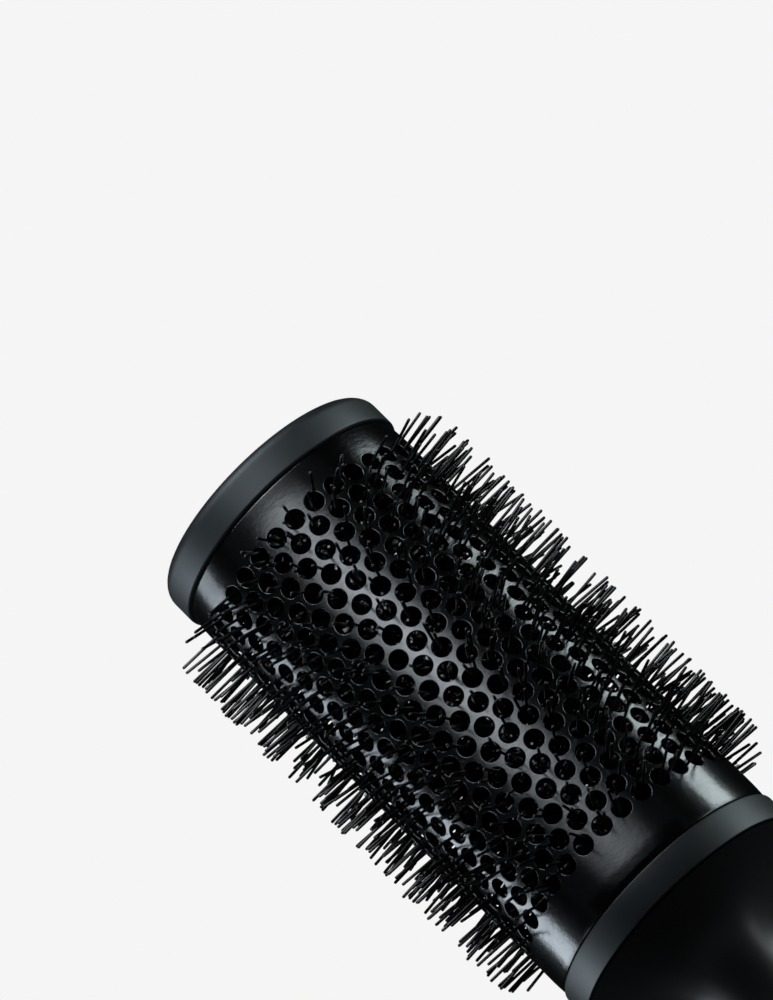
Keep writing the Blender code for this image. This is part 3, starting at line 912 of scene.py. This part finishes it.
def softbox(name, azimuth, distance, heights, width, tint, soft=0.0):
    """An area light that faces the axis, with its azimuth in degrees from +X.

    Heights are its (height, radiance) stops from the bottom up. Soft is the share of its width over which
    each side fades.
    """
    low, high = heights[0][0], heights[-1][0]
    peak = max(radiance for _, radiance in heights)
    data = bpy.data.lights.new(name, "AREA")
    data.shape = "RECTANGLE"
    data.size = width
    data.size_y = high - low
    data.energy = peak * math.pi * width * (high - low)
    data.color = tint
    data.use_nodes = True
    tree = data.node_tree
    split = tree.nodes.new("ShaderNodeSeparateXYZ")
    tree.links.new(tree.nodes.new("ShaderNodeNewGeometry").outputs["Parametric"], split.inputs["Vector"])
    stops = [((height - low) / (high - low), radiance / peak) for height, radiance in heights]
    glow = falloff(tree, split.outputs["Y"], stops)
    if soft:
        sides = falloff(tree, split.outputs["X"], [(0.0, 0.0), (soft, 1.0), (1.0 - soft, 1.0), (1.0, 0.0)])
        both = tree.nodes.new("ShaderNodeMath")
        both.operation = "MULTIPLY"
        tree.links.new(glow, both.inputs[0])
        tree.links.new(sides, both.inputs[1])
        glow = both.outputs[0]
    tree.links.new(glow, tree.nodes["Emission"].inputs["Strength"])
    light = bpy.data.objects.new(name, data)
    bpy.context.scene.collection.objects.link(light)
    angle = math.radians(azimuth)
    outward = Vector((math.cos(angle), math.sin(angle), 0.0))
    light.location = outward * distance + Vector((0, 0, (low + high) / 2))
    light.rotation_mode = "QUATERNION"
    light.rotation_quaternion = outward.to_track_quat("Z", "Y")
    light.visible_camera = False


def collar_flag():
    """A black net in front of the collar, which holds back the front light. The camera doesn't see it."""
    radius, low, high = 36 * MM, 111.5 * MM, 130 * MM
    spread, steps = 64.0, 16
    points = []
    for height in (low, high):
        for step in range(steps + 1):
            angle = math.radians(FRONT_AZIMUTH + spread * (step / steps - 0.5))
            points.append((math.cos(angle) * radius, math.sin(angle) * radius, height))
    faces = [(k, k + 1, steps + k + 2, steps + k + 1) for k in range(steps)]
    mesh = bpy.data.meshes.new("collar_flag")
    mesh.from_pydata(points, [], faces)
    net = Shader("black_net", (0.002, 0.002, 0.002), 0.9, specular=0.0)
    net.set("Alpha", 0.80)
    weave = net.noise(net.scaled((900.0, 900.0, 900.0)))
    net.tint(weave, (0.0015, 0.0015, 0.0015), (0.0025, 0.0025, 0.0025))
    mesh.materials.append(net.material)
    flag = bpy.data.objects.new("collar_flag", mesh)
    bpy.context.scene.collection.objects.link(flag)
    flag.visible_camera = False


# Each light's (height in metres, radiance) stops
LEFT_STRIP = (
    (-0.55, 5.5),
    (-0.40, 4.5),
    (-0.30, 4.2),
    (-0.20, 7.9),
    (-0.12, 9.0),
    (0.08, 9.5),
    (0.22, 7.5),
    (0.44, 0.4),
)
RIGHT_STRIP = (
    (-0.32, 0.0),
    (-0.25, 4.0),
    (-0.19, 8.0),
    (-0.14, 8.5),
    (0.0, 9.5),
    (0.22, 8.0),
    (0.44, 0.4),
)
FRONT_BOX = (
    (-0.200, 9.0),
    (-0.100, 9.0),
    (-0.082, 0.6),
    (-0.052, 0.6),
    (-0.034, 3.8),
    (-0.020, 5.2),
    (-0.005, 7.4),
    (0.012, 7.9),
    (0.030, 6.6),
    (0.045, 5.0),
    (0.060, 2.8),
    (0.076, 2.0),
    (0.095, 1.2),
    (0.110, 0.0),
)
LOW_FILL = ((-0.95, 9.0), (-0.36, 9.0))
ROOM_FILL = ((-0.9, 0.045), (0.9, 0.045), (1.3, 0.09), (1.9, 0.15), (3.0, 0.15))
RIGHT_GLOW = ((0.32, 0.0), (0.46, 5.4), (0.85, 4.8), (1.05, 0.0))
LEFT_GLOW = ((0.28, 0.0), (0.40, 1.6), (0.60, 1.6), (0.72, 0.0))

studio_room()
softbox("left_strip", 6.7, FAR, LEFT_STRIP, 0.39, (0.84, 0.93, 1.0))
softbox("right_strip", 170.0, FAR, RIGHT_STRIP, 0.37, (0.89, 1.0, 0.985))
softbox("front_box", FRONT_AZIMUTH, 0.15, FRONT_BOX, 0.158, (0.92, 0.965, 1.0), soft=0.5)
softbox("low_fill", FRONT_AZIMUTH, 0.30, LOW_FILL, 0.55, COOL)
softbox("room_fill", -93.0, FAR, ROOM_FILL, 2.8, COOL)
softbox("right_glow", 187.0, FAR, RIGHT_GLOW, 0.20, (0.92, 0.97, 1.0), soft=0.4)
softbox("left_glow", -20.0, FAR, LEFT_GLOW, 0.24, COOL, soft=0.4)
collar_flag()

world = bpy.data.worlds.new("studio_dark")
world.use_nodes = True
world.node_tree.nodes["Background"].inputs["Color"].default_value = (0.004, 0.0042, 0.0047, 1.0)
bpy.context.scene.world = world

# ---------------------------------------------------------------- camera

CAMERA_AIM = Vector((-16.4 * MM, 0.0, 18.7 * MM))
CAMERA_DISTANCE = 2.258
CAMERA_AZIMUTH = 3.22
CAMERA_ELEVATION = 17.97
CAMERA_ROLL = 134.81
CAMERA_LENS = 410.3

camera_data = bpy.data.cameras.new("camera")
camera_data.lens = CAMERA_LENS
camera_data.sensor_width = 36.0
camera_data.clip_end = 60.0
camera = bpy.data.objects.new("camera", camera_data)
bpy.context.scene.collection.objects.link(camera)
turn, rise = math.radians(CAMERA_AZIMUTH), math.radians(CAMERA_ELEVATION)
towards = Vector((-math.sin(turn) * math.cos(rise), -math.cos(turn) * math.cos(rise), math.sin(rise)))
camera.location = CAMERA_AIM + towards * CAMERA_DISTANCE
camera.rotation_mode = "QUATERNION"
level = towards.to_track_quat("Z", "Y")
camera.rotation_quaternion = level @ Quaternion((0.0, 0.0, 1.0), math.radians(CAMERA_ROLL))
bpy.context.scene.camera = camera

bpy.context.scene.view_settings.view_transform = "Standard"
